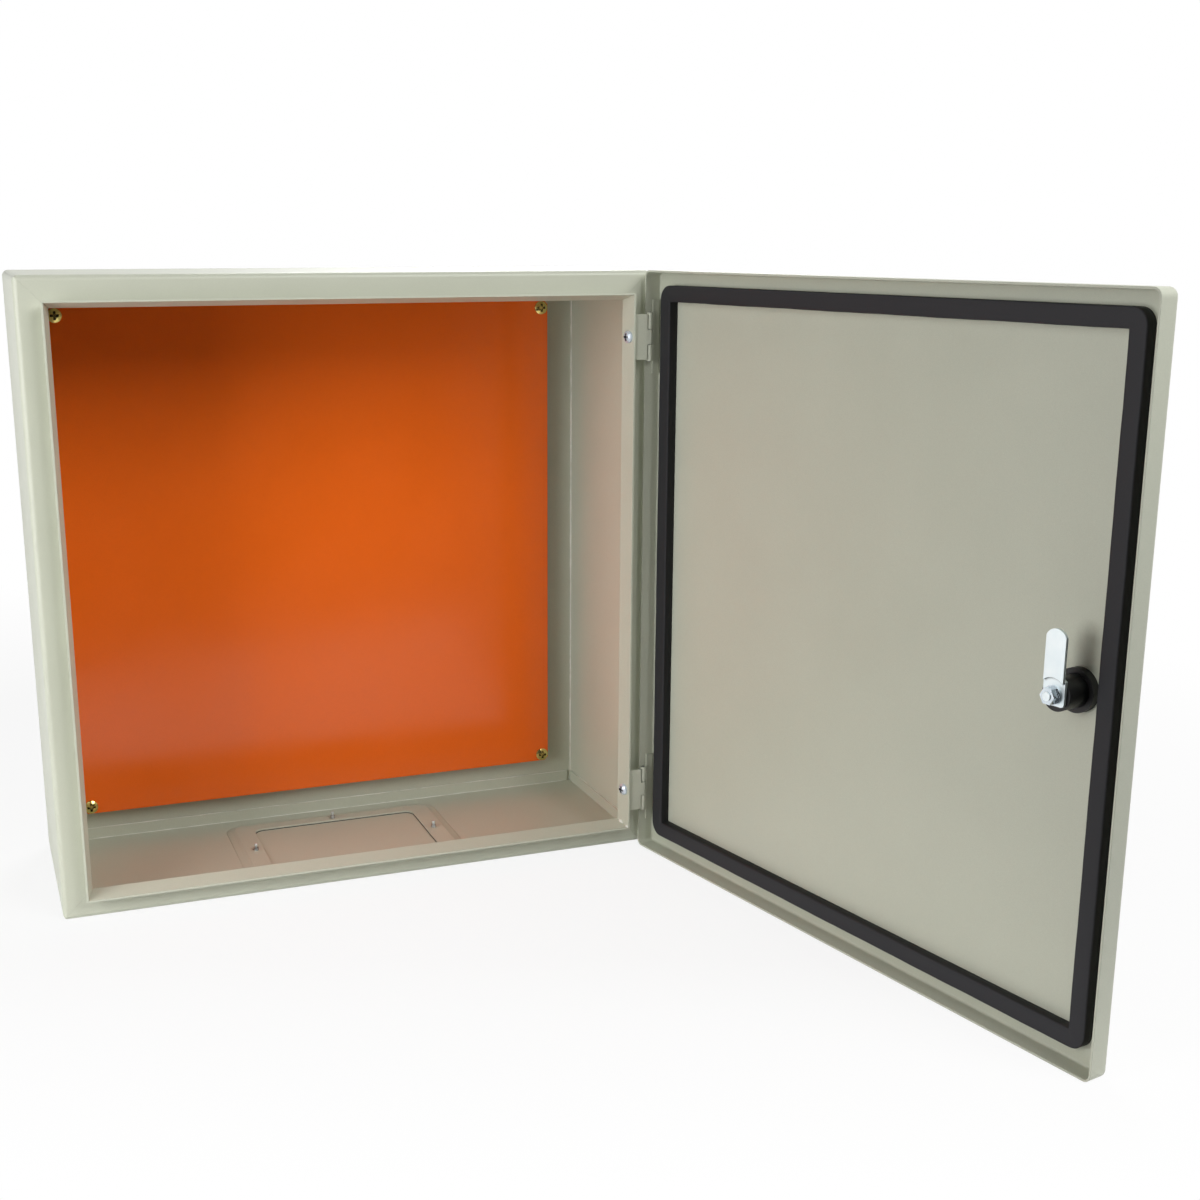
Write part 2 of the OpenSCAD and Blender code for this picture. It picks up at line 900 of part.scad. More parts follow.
module cam() {
    color(zinc) {
        lock_place() {
            translate([0, 0, cam_s]) {
                rotate([0, 0, 180]) {
                    difference() {
                        union() {
                            linear_extrude(cam_t) cam_foot_plan();
                            translate([0, 0, cam_crank]) linear_extrude(cam_t) cam_arm_plan();
                        }
                        translate([-drive_w / 2 - thread_fit, -drive_w / 2 - thread_fit, -over]) {
                            cube([drive_w + 2 * thread_fit, drive_w + 2 * thread_fit, cam_t + 2 * over]);
                        }
                    }
                }
            }
        }
    }
}

module cam_washer() {
    color(zinc) {
        lock_place() {
            translate([0, 0, washer_s]) {
                difference() {
                    cylinder(r = washer_r, h = washer_t);
                    translate([0, 0, -over]) cylinder(r = stud_r + hole_fit, h = washer_t + 2 * over);
                }
            }
        }
    }
}

module cam_nut() {
    color(zinc) {
        lock_place() {
            translate([0, 0, cam_nut_s]) {
                difference() {
                    cylinder(r = cam_nut_w / (2 * cos(180 / hex_sides)), h = cam_nut_h, $fn = hex_sides);
                    translate([0, 0, -over]) cylinder(r = stud_r + thread_fit, h = cam_nut_h + 2 * over);
                }
            }
        }
    }
}

side_back_wrap();
top_panel();
bottom_panel();
mounting_plate();
plate_standoffs();
plate_screws();
gland_plate();
gland_seal();
gland_screws();
hinge_body_leaf_upper();
hinge_body_leaf_lower();
hinge_pin_upper();
hinge_pin_lower();
hinge_screws();
door_panel();
door_gasket();
hinge_door_leaf_upper();
hinge_door_leaf_lower();
lock_housing();
lock_seal();
lock_nut();
lock_plug();
cam();
cam_washer();
cam_nut();
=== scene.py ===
"""Looks of a wall-mounted control cabinet with its door standing open.

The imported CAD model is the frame. This script gives each CAD node its finish, adds the pieces whose
look the CAD model leaves plain, and sets up the studio and the camera.
"""

import json
import logging
import math
import random
from dataclasses import dataclass, field
from enum import Enum

import bmesh
import bpy
from mathutils import Matrix, Vector

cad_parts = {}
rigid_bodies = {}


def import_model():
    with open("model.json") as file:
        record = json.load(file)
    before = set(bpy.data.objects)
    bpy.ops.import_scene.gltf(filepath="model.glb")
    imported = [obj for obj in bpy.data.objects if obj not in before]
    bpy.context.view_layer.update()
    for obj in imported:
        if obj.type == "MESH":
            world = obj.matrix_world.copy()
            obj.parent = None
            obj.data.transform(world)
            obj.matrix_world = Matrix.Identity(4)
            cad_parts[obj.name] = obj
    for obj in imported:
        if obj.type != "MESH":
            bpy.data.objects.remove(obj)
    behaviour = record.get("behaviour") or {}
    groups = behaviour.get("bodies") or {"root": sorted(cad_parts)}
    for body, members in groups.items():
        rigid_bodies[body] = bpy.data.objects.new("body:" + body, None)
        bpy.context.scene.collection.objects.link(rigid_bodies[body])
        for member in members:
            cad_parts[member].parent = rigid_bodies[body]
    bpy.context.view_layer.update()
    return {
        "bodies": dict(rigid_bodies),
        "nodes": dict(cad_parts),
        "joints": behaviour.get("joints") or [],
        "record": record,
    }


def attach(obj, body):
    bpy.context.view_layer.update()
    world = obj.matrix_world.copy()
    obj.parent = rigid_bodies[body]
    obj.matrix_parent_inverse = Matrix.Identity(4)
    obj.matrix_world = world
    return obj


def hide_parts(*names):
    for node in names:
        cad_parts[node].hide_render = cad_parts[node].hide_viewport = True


LOG = logging.getLogger("cabinet")
MM = 0.001
SEED = 7

Colour = tuple[float, float, float, float]
Socket = bpy.types.NodeSocket
Ring = list[bmesh.types.BMVert]

WHITE: Colour = (1.0, 1.0, 1.0, 1.0)
# The span in which most of a noise pattern's values lie
NOISE_SPAN = {"From Min": 0.3, "From Max": 0.7}
BUMP_STRENGTH = 0.6
EDGE_SAMPLES = 4
RECESS_SAMPLES = 8


class Body(Enum):
    """Rigid bodies of the record that the added pieces ride on."""

    CABINET = "cabinet"
    DOOR = "door"


def linear(code: str) -> Colour:
    """Turns an sRGB hex colour into linear light.

    Args:
        code: Six hex digits, with or without a leading hash.

    Returns:
        Linear red, green, blue and an alpha of 1.
    """
    digits = code.lstrip("#")
    parts = [int(digits[i:i + 2], 16) / 255 for i in (0, 2, 4)]
    lit = [c / 12.92 if c <= 0.04045 else ((c + 0.055) / 1.055) ** 2.4 for c in parts]
    return (lit[0], lit[1], lit[2], 1.0)


def scaled(colour: Colour, share: float) -> Colour:
    """Dims or brightens a linear colour.

    Args:
        colour: Linear colour.
        share: Factor for its light.

    Returns:
        The changed colour, alpha 1.
    """
    return (colour[0] * share, colour[1] * share, colour[2] * share, 1.0)


def add_node(
    tree: bpy.types.NodeTree,
    kind: str,
    settings: dict | None = None,
    links: dict | None = None,
) -> bpy.types.Node:
    """Adds one shader node.

    Args:
        tree: Tree to add to.
        kind: Blender's node type.
        settings: Socket names or numbers, or node properties, with their values.
        links: Socket names or numbers with the output socket that feeds each.

    Returns:
        The new node.
    """
    node = tree.nodes.new(kind)
    for key, value in (settings or {}).items():
        if isinstance(key, int) or key in node.inputs:
            node.inputs[key].default_value = value
        else:
            setattr(node, key, value)
    for key, source in (links or {}).items():
        tree.links.new(source, node.inputs[key])
    return node


def grit(size_mm: float, detail: float = 2.0) -> dict[str, float]:
    """Gives the settings of a noise pattern of a real size.

    Args:
        size_mm: Size of its features in millimetres.
        detail: Octaves of finer features.

    Returns:
        Settings for a noise texture over coordinates in metres.
    """
    return {"Scale": 1 / (size_mm * MM), "Detail": detail}


def spread(low: float, high: float) -> dict[str, float]:
    """Gives the settings that map a noise pattern to a range.

    Args:
        low: Result at the low end of the noise.
        high: Result at its high end.

    Returns:
        Settings for a map range.
    """
    return NOISE_SPAN | {"To Min": low, "To Max": high}


def mottled(tree: bpy.types.NodeTree, pattern: Socket, dark: Colour, light: Colour) -> Socket:
    """Lets a colour vary with a pattern.

    Args:
        tree: Tree to add to.
        pattern: Noise value.
        dark: Colour at the low end of the noise.
        light: Colour at its high end.

    Returns:
        The varied colour.
    """
    share = add_node(tree, "ShaderNodeMapRange", spread(0.0, 1.0), {"Value": pattern}).outputs[0]
    return add_node(tree, "ShaderNodeMix", {"data_type": "RGBA", 6: dark, 7: light}, {0: share}).outputs[2]


def relief(tree: bpy.types.NodeTree, height: Socket, depth_mm: float, edge_mm: float) -> Socket:
    """Rounds the edges of a piece and lays a fine relief over it.

    Args:
        tree: Tree to add to.
        height: Pattern of the relief.
        depth_mm: Its depth in millimetres.
        edge_mm: Radius of the edges in millimetres.

    Returns:
        The changed normal.
    """
    rounded = add_node(tree, "ShaderNodeBevel", {"Radius": edge_mm * MM, "samples": EDGE_SAMPLES})
    return add_node(
        tree,
        "ShaderNodeBump",
        {"Strength": BUMP_STRENGTH, "Distance": depth_mm * MM},
        {"Height": height, "Normal": rounded.outputs[0]},
    ).outputs[0]


@dataclass(frozen=True)
class Finish:
    """A real material and the process that finished it."""

    name: str
    colour: str

    def material(self) -> bpy.types.Material:
        """Builds the Blender material.

        Returns:
            A material named for the real one.
        """
        material = bpy.data.materials.new(self.name)
        material.use_nodes = True
        tree = material.node_tree
        tree.nodes.clear()
        place = add_node(tree, "ShaderNodeTexCoord").outputs["Object"]
        shader = self.shade(tree, place)
        add_node(tree, "ShaderNodeOutputMaterial", links={"Surface": shader.outputs[0]})
        return material

    def shade(self, tree: bpy.types.NodeTree, place: Socket) -> bpy.types.Node:
        """Adds the nodes of this finish.

        Args:
            tree: Tree to add to.
            place: Object coordinates in metres.

        Returns:
            The surface shader.
        """
        raise NotImplementedError


@dataclass(frozen=True)
class PowderCoat(Finish):
    """Sprayed and baked powder coat: a satin film that rounds the sheet's edges, with a fine peel."""

    roughness: float = 0.4
    rough_span: float = 0.04
    peel_mm: float = 1.4
    peel_depth_mm: float = 0.008
    cloud_mm: float = 70.0
    cloud: float = 0.015
    # Coarser than the real grain of about 0.1 mm, so that it shows
    grain_mm: float = 0.45
    grain: float = 0.05
    edge_mm: float = 0.6

    def shade(self, tree: bpy.types.NodeTree, place: Socket) -> bpy.types.Node:
        """Puts peel in the relief, grain and clouds in the colour, and clouds in the gloss.

        Args:
            tree: Tree to add to.
            place: Object coordinates in metres.

        Returns:
            The surface shader.
        """
        base = linear(self.colour)
        cloud = add_node(tree, "ShaderNodeTexNoise", grit(self.cloud_mm, 3.0), {"Vector": place}).outputs[0]
        grain = add_node(tree, "ShaderNodeTexNoise", grit(self.grain_mm, 1.0), {"Vector": place}).outputs[0]
        peel = add_node(tree, "ShaderNodeTexNoise", grit(self.peel_mm), {"Vector": place}).outputs[0]
        film = mottled(tree, cloud, scaled(base, 1 - self.cloud), scaled(base, 1 + self.cloud))
        speck = mottled(tree, grain, scaled(WHITE, 1 - self.grain), scaled(WHITE, 1 + self.grain))
        tint = add_node(
            tree,
            "ShaderNodeMix",
            {"data_type": "RGBA", "blend_type": "MULTIPLY", 0: 1.0},
            {6: film, 7: speck},
        ).outputs[2]
        span = spread(self.roughness - self.rough_span, self.roughness + self.rough_span)
        rough = add_node(tree, "ShaderNodeMapRange", span, {"Value": cloud}).outputs[0]
        normal = relief(tree, peel, self.peel_depth_mm, self.edge_mm)
        return add_node(
            tree,
            "ShaderNodeBsdfPrincipled",
            {"IOR": 1.5},
            {"Base Color": tint, "Roughness": rough, "Normal": normal},
        )


@dataclass(frozen=True)
class Plating(Finish):
    """Zinc plating on turned or stamped steel: metal with a clouded gloss, and painted shade in its recesses.
    """

    roughness: float = 0.22
    polish: float = 0.06
    haze: float = 0.08
    streak_mm: float = 0.5
    cloud_mm: float = 4.0
    cloud_colour: str = "#9aa0a6"
    # Reach, span and colour of the painted shade that darkens the recesses
    recess_shade_mm: float = 2.2
    recess_shade_span: tuple[float, float] = (0.42, 0.94)
    recess_shade_colour: str = "#1b1713"
    edge_mm: float = 0.25
    metal: float = 1.0

    def shade(self, tree: bpy.types.NodeTree, place: Socket) -> bpy.types.Node:
        """Puts streaks in the gloss, clouds in the colour and painted shade in the recesses.

        Args:
            tree: Tree to add to.
            place: Object coordinates in metres.

        Returns:
            The surface shader.
        """
        streak = add_node(tree, "ShaderNodeTexNoise", grit(self.streak_mm, 3.0), {"Vector": place}).outputs[0]
        cloud = add_node(tree, "ShaderNodeTexNoise", grit(self.cloud_mm), {"Vector": place}).outputs[0]
        bare = mottled(tree, cloud, linear(self.cloud_colour), linear(self.colour))
        # Painted shade: the colour runs to the dark recess colour where occlusion finds close walls
        recess_occlusion = add_node(
            tree,
            "ShaderNodeAmbientOcclusion",
            {"Distance": self.recess_shade_mm * MM, "samples": RECESS_SAMPLES, "only_local": True},
        )
        shut, clear = self.recess_shade_span
        unshaded = add_node(
            tree,
            "ShaderNodeMapRange",
            {"From Min": shut, "From Max": clear},
            {"Value": recess_occlusion.outputs["AO"]},
        )
        tint = add_node(
            tree,
            "ShaderNodeMix",
            {"data_type": "RGBA", 6: linear(self.recess_shade_colour)},
            {0: unshaded.outputs[0], 7: bare},
        ).outputs[2]
        rounded = add_node(tree, "ShaderNodeBevel", {"Radius": self.edge_mm * MM, "samples": EDGE_SAMPLES})
        span = spread(self.roughness - self.polish, self.roughness + self.haze)
        rough = add_node(tree, "ShaderNodeMapRange", span, {"Value": streak}).outputs[0]
        return add_node(
            tree,
            "ShaderNodeBsdfPrincipled",
            {"Metallic": self.metal},
            {"Base Color": tint, "Roughness": rough, "Normal": rounded.outputs[0]},
        )


@dataclass(frozen=True)
class Polymer(Finish):
    """Moulded plastic, rubber or skinned foam: a dark body with a fine cellular skin."""

    roughness: float = 0.5
    rough_span: float = 0.06
    # Coarser than the real cells of about 0.2 mm, so that they show
    cell_mm: float = 0.8
    cell_depth_mm: float = 0.04
    speckle: float = 0.15
    edge_mm: float = 0.4
    gloss: float = 0.5
    # Colour of the painted shade on the flanks below a strip's crown; empty for none
    flank_shade_colour: str = ""

    def shade(self, tree: bpy.types.NodeTree, place: Socket) -> bpy.types.Node:
        """Puts cells in the relief, the colour and the gloss, and paints shade on the flanks below the crown.

        Args:
            tree: Tree to add to.
            place: Object coordinates in metres.

        Returns:
            The surface shader.
        """
        base = linear(self.colour)
        cell = add_node(tree, "ShaderNodeTexNoise", grit(self.cell_mm), {"Vector": place}).outputs[0]
        tint = mottled(tree, cell, scaled(base, 1 - self.speckle), scaled(base, 1 + self.speckle))
        # Painted shade: the flanks below the crown take the darker flank colour
        if self.flank_shade_colour:
            crown = add_node(tree, "ShaderNodeAttribute", {"attribute_name": "crown"}).outputs["Fac"]
            tint = add_node(
                tree,
                "ShaderNodeMix",
                {"data_type": "RGBA", 6: linear(self.flank_shade_colour)},
                {0: crown, 7: tint},
            ).outputs[2]
        span = spread(self.roughness - self.rough_span, self.roughness + self.rough_span)
        rough = add_node(tree, "ShaderNodeMapRange", span, {"Value": cell}).outputs[0]
        normal = relief(tree, cell, self.cell_depth_mm, self.edge_mm)
        return add_node(
            tree,
            "ShaderNodeBsdfPrincipled",
            {"IOR": 1.5, "Specular IOR Level": self.gloss},
            {"Base Color": tint, "Roughness": rough, "Normal": normal},
        )


# Satin pebble-grey powder coat of the folded sheet: soft broad highlights and a fine peel
BODY_PAINT = PowderCoat("pebble grey powder coat", "#c9ccbb")
# Orange powder coat of the mounting plate: smoother, so that it mirrors the pale table low down
PLATE_PAINT = PowderCoat("orange powder coat", "#fa6e1a", roughness=0.2, peel_depth_mm=0.003, grain=0.03)
# Bright zinc of the cam, the lock plug, the stand-offs and the gland screws: cool and almost white
BRIGHT_ZINC = Plating("bright zinc plating", "#f1fafc", roughness=0.4, cloud_mm=14.0, cloud_colour="#e6f2f6")
# Clear passivated zinc of the hinge screws: hazy, so that the domed heads stay pale and cool
HAZY_ZINC = Plating("clear passivated zinc", "#dfe8f2", roughness=0.3, cloud_colour="#d0dbe8", metal=0.45)
# Tumbled zinc of the cam's nut and washer: glossy, so that it shows dark and bright sides
GLOSSY_ZINC = Plating("glossy zinc plating", "#e3ebf0", roughness=0.15, cloud_colour="#cfdae2")
# Yellow passivated zinc of the plate screws: glossy gold with greenish clouds
YELLOW_ZINC = Plating("yellow zinc plating", "#efd888", roughness=0.2, cloud_colour="#c9bd72", cloud_mm=3.0)
# Drawn steel of the hinge pins: darker and duller than the plating
PIN_STEEL = Plating("drawn steel", "#8b8b8a", roughness=0.35, cloud_colour="#6d6d6c")
# Rolled threads of the gland screws, with painted shade between the crests
THREAD_STEEL = Plating("rolled steel thread", "#cfd1d1", roughness=0.3, cloud_colour="#9a9a98", recess_shade_mm=0.7)
# Skinned polyurethane foam of the door gasket: dark grey and dull, with painted shade that makes the flanks
# below the crown blacker
GASKET_FOAM = Polymer(
    "skinned foam gasket", "#2e2e31", roughness=0.6, cell_mm=0.5, gloss=0.26, flank_shade_colour="#1b1b1d"
)
# Flat black rubber under the lock and the gland plate: dull and almost without tone
SEAL_RUBBER = Polymer("flat black rubber", "#161616", roughness=0.7, cell_mm=0.5)
# Black moulded plastic of the lock: smoother, with a soft gloss
LOCK_PLASTIC = Polymer("black moulded plastic", "#131314", roughness=0.4, cell_mm=0.4, cell_depth_mm=0.01)
# Seam beads and weld drops of the folded body: paler than the coat beside it, as a painted highlight along
# the folds and edges, and glossier
SEAM_HIGHLIGHT_PAINT = PowderCoat("seam paint with painted highlight", "#f1f1e8", roughness=0.25, peel_depth_mm=0.02)

FINISHES: dict[str, Finish] = {
    "body_paint": BODY_PAINT,
    "plate_paint": PLATE_PAINT,
    "bright_zinc": BRIGHT_ZINC,
    "yellow_zinc": YELLOW_ZINC,
    "pin_steel": PIN_STEEL,
    "gasket_foam": GASKET_FOAM,
    "seal_rubber": SEAL_RUBBER,
    "lock_plastic": LOCK_PLASTIC,
}

# Nodes whose zinc looks different from the rest of their slot
SPECIAL: tuple[tuple[tuple[str, ...], Finish], ...] = (
    (("cam_nut", "cam_washer"), GLOSSY_ZINC),
    (("hinge_screws",), HAZY_ZINC),
)


def dress(frame: dict, materials: dict[str, bpy.types.Material]) -> None:
    """Gives every CAD node the finish of its slot.

    Args:
        materials: Materials by slot name.
    """
    for part in frame["record"]["subparts"]:
        node = frame["nodes"][part["node"]]
        node.data.materials.clear()
        node.data.materials.append(materials[part["material_slot"]])
    for names, finish in SPECIAL:
        material = finish.material()
        for name in names:
            frame["nodes"][name].data.materials[0] = material


def piece(
    name: str,
    mesh: bmesh.types.BMesh,
    material: bpy.types.Material,
    body: Body,
) -> bpy.types.Object:
    """Makes an object of a finished mesh and lets it ride on a body.

    Args:
        name: Name of the piece.
        mesh: Its mesh, in the row frame.
        material: Its material.
        body: The body that carries it.

    Returns:
        The linked object.
    """
    bmesh.ops.recalc_face_normals(mesh, faces=mesh.faces)
    data = bpy.data.meshes.new(name)
    mesh.to_mesh(data)
    mesh.free()
    data.materials.append(material)
    data.shade_smooth()
    obj = bpy.data.objects.new(name, data)
    bpy.context.scene.collection.objects.link(obj)
    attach(obj, body.value)
    return obj


def skin(mesh: bmesh.types.BMesh, rings: list[Ring], closed: bool) -> None:
    """Joins rings of points into a tube.

    Args:
        mesh: Mesh to add faces to.
        rings: Rings with the same number of points.
        closed: Whether the last ring joins the first; otherwise both ends get a cap.
    """
    pairs = list(zip(rings, rings[1:]))
    if closed:
        pairs.append((rings[-1], rings[0]))
    for ring, after in pairs:
        for i in range(len(ring)):
            j = (i + 1) % len(ring)
            mesh.faces.new((ring[i], ring[j], after[j], after[i]))
    if not closed:
        mesh.faces.new(rings[0])
        mesh.faces.new(rings[-1])


@dataclass
class DoorSpace:
    """The door's own axes at rest, in metres: x to the hinge side, y up and z off the inner face."""

    hinge: Vector
    opened: float
    inner_y: float = -0.1985
    half_w: float = 0.25

    @classmethod
    def of(cls, frame: dict) -> "DoorSpace":
        """Reads the door's place from its joint.


        Returns:
            The door's axes.
        """
        joint = next(j for j in frame["joints"] if j["name"] == "door_hinge")
        return cls(Vector(joint["pos_m"]), -math.radians(joint["range_deg"][0]))

    def matrix(self) -> Matrix:
        """Gives the transform from the door's axes to the row frame.

        Returns:
            A 4 by 4 matrix.
        """
        axes = Matrix(((1, 0, 0, 0), (0, 0, 1, self.inner_y), (0, 1, 0, 0), (0, 0, 0, 1)))
        swing = Matrix.Rotation(self.opened, 4, "Z")
        turn = Matrix.Translation(self.hinge) @ swing @ Matrix.Translation(-self.hinge)
        return turn @ axes


@dataclass
class Gasket:
    """Foam strip of a square section inside the door: wide corners outside, sharp inside. Sizes in mm."""

    inset: float = 12.8
    raised: float = 1.0
    width: float = 13.0
    height: float = 8.3
    outer_r: float = 11.0
    inner_r: float = 0.8
    edge_r: float = 1.1
    edge_steps: int = 4
    step: float = 9.0
    corner_steps: int = 9
    flank_share: float = 0.45
    crown_share: float = 0.9
    crown_spots: tuple[float, ...] = (0.3, 0.5, 0.7)
    glued: float = 1.0
    # Size and pace of the waves that the strip was laid with, sideways and in height
    sways: tuple[tuple[float, float], ...] = ((0.10, 0.53), (0.06, 1.7))
    dip: float = 0.05
    dip_pace: float = 0.81

    def section(self) -> list[tuple[float, float]]:
        """Gives the strip's outline: share of the way from the outer to the inner side, and height.

        Returns:
            Points from the outer foot round to the inner foot, heights in millimetres.
        """
        w, h, r = self.width, self.height, self.edge_r
        turn = [math.pi / 2 * i / self.edge_steps for i in range(self.edge_steps + 1)]
        edge = [(r - r * math.cos(a), h - r + r * math.sin(a)) for a in turn]
        rise = [(0.0, 0.0), (0.0, h * self.flank_share)] + edge
        crown = [(w * spot, h) for spot in self.crown_spots]
        whole = rise + crown + [(w - s, t) for s, t in reversed(rise)]
        return [(s / w, t) for s, t in whole]

    def stations(self, half: float) -> list[tuple[Vector, Vector]]:
        """Walks round the strip.

        Args:
            half: Half of the door's width in millimetres.

        Returns:
            Matching points on the outer and the inner side.
        """
        far = half - self.inset - self.outer_r
        near = half - self.inset - self.width - self.inner_r
        found = []
        for quarter in range(4):
            turn = Matrix.Rotation(quarter * math.pi / 2, 2)
            count = int(2 * far / self.step)
            for i in range(count):
                along = 2 * i / count - 1
                outer = Vector((along * far, -far - self.outer_r))
                inner = Vector((along * near, -near - self.inner_r))
                found.append((turn @ outer, turn @ inner))
            for i in range(self.corner_steps):
                angle = -math.pi / 2 + math.pi / 2 * i / self.corner_steps
                way = Vector((math.cos(angle), math.sin(angle)))
                outer = Vector((far, -far)) + way * self.outer_r
                inner = Vector((near, -near)) + way * self.inner_r
                found.append((turn @ outer, turn @ inner))
        return found

    def build(self, space: DoorSpace, foam: bpy.types.Material) -> list[bpy.types.Object]:
        """Sweeps the strip with the small unevenness of foam, and marks its crown, so that the finish paints
        shade on the flanks below it.

        Args:
            space: The door's axes.
            foam: The strip's material.

        Returns:
            The strip.
        """
        mesh = bmesh.new()
        crown = mesh.verts.layers.float.new("crown")
        place = space.matrix()
        rings = []
        for index, (outer, inner) in enumerate(self.stations(space.half_w / MM)):
            sway = sum(size * math.sin(index * pace) for size, pace in self.sways)
            dip = self.dip + self.dip * math.sin(index * self.dip_pace)
            ring = []
            for s, t in self.section():
                on_crown = t > self.crown_share * self.height
                spot = outer.lerp(inner, s)
                spot += (outer - inner).normalized() * (sway if t > self.glued else 0)
                lift = t - (dip if on_crown else 0)
                point = Vector((spot.x * MM, (spot.y + self.raised) * MM, lift * MM))
                ring.append(mesh.verts.new(place @ point))
                ring[-1][crown] = float(on_crown)
            rings.append(ring)
        skin(mesh, rings, closed=True)
        obj = piece("gasket_strip", mesh, foam, Body.DOOR)
        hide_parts("door_gasket")
        return [obj]


@dataclass
class ScrewThreads:
    """Threads and points of the gland screws that stand up through the floor. Sizes in mm."""

    spots: tuple[tuple[float, float], ...] = ((81.0, -88.0), (-81.0, -88.0), (0.0, -33.0), (0.0, -143.0))
    foot_z: float = -248.5
    height: float = 5.2
    minor_r: float = 1.95
    major_r: float = 2.3
    pitch: float = 0.8
    rings_per_turn: int = 6
    sides: int = 20
    point_r: float = 1.45
    point_z: float = -239.9
    point_sunk: float = 0.3
    tip_h: float = 0.6
    tip_share: float = 0.6

    def ring(
        self,
        mesh: bmesh.types.BMesh,
        spot: tuple[float, float],
        z: float,
        radii: list[float],
    ) -> Ring:
        """Adds one ring of points round a screw.

        Args:
            mesh: Mesh to add to.
            spot: The screw's place in millimetres.
            z: Height in millimetres.
            radii: Radius at each point in millimetres.

        Returns:
            The points.
        """
        found = []
        for side, r in enumerate(radii):
            a = 2 * math.pi * side / self.sides
            point = Vector((spot[0] + r * math.cos(a), spot[1] + r * math.sin(a), z))
            found.append(mesh.verts.new(point * MM))
        return found

    def thread(self, mesh: bmesh.types.BMesh, spot: tuple[float, float]) -> None:
        """Winds a thread round one screw.

        Args:
            mesh: Mesh to add to.
            spot: The screw's place in millimetres.
        """
        count = int(self.height / self.pitch * self.rings_per_turn)
        rings = []
        for level in range(count + 1):
            z = self.height * level / count
            swell = 0.0 if level in (0, count) else self.major_r - self.minor_r
            turns = [(z / self.pitch - side / self.sides) % 1.0 for side in range(self.sides)]
            radii = [self.minor_r + swell * (1 - abs(2 * turn - 1)) for turn in turns]
            rings.append(self.ring(mesh, spot, self.foot_z + z, radii))
        skin(mesh, rings, closed=False)

    def point(self, mesh: bmesh.types.BMesh, spot: tuple[float, float]) -> None:
        """Sets the point on one screw.

        Args:
            mesh: Mesh to add to.
            spot: The screw's place in millimetres.
        """
        shape = (
            (self.foot_z + self.height - self.point_sunk, self.point_r),
            (self.point_z - self.tip_h, self.point_r),
            (self.point_z, self.point_r * self.tip_share),
        )
        skin(mesh, [self.ring(mesh, spot, z, [r] * self.sides) for z, r in shape], closed=False)

    def build(self, steel: bpy.types.Material, zinc: bpy.types.Material) -> list[bpy.types.Object]:
        """Makes the threads and the points of all the screws.

        Args:
            steel: The threads' material.
            zinc: The points' material.

        Returns:
            The threads and the points.
        """
        threads, points = bmesh.new(), bmesh.new()
        for spot in self.spots:
            self.thread(threads, spot)
            self.point(points, spot)
        return [
            piece("gland_screw_threads", threads, steel, Body.CABINET),
            piece("gland_screw_points", points, zinc, Body.CABINET),
        ]


